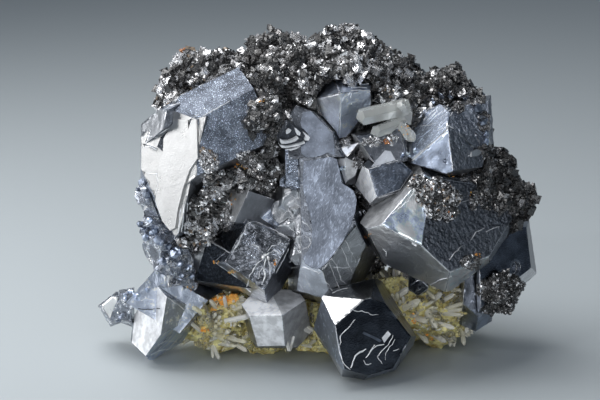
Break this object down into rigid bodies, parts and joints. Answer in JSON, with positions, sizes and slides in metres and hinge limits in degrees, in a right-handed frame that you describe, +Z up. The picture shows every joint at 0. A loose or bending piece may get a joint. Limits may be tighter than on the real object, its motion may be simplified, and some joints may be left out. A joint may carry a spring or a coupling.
{
  "type": "mineral specimen",
  "caption": "Galena crystals with dark sphalerite grown together on a quartz matrix with a flat foot to rest on.",
  "frame": {"origin": "centre of the bounding box at its bottom, on the floor under the specimen", "axes": "+X to the right along the longest side, +Y away from the viewer, +Z up"},
  "size_m": [0.1204, 0.0756, 0.089],
  "materials": {
    "galena": "lead-grey metallic crystal faces, from mirror bright to satin",
    "sphalerite": "black-brown, glassy to metallic small crystals",
    "quartz_clear": "clear crystals",
    "quartz_stained": "clear crystals over an iron-stained yellow-green base"
  },
  "bodies": {
    "root": {"galena_left": "galena", "galena_centre": "galena", "galena_right": "galena", "galena_upper_right": "galena", "galena_top": "galena", "galena_middle": "galena", "galena_front": "galena", "galena_front_left": "galena", "galena_centre_left": "galena", "galena_lower_left": "galena", "galena_nest": "galena", "galena_far_right": "galena", "galena_lower_right": "galena", "galena_small": "galena", "galena_back_left": "galena", "galena_back_right": "galena", "galena_back_low": "galena", "quartz_upper": "quartz_clear", "sphalerite_patch": "sphalerite", "sphalerite_low": "sphalerite", "sphalerite_mass": "sphalerite", "quartz_matrix": "quartz_stained"}
  },
  "joints": []
}
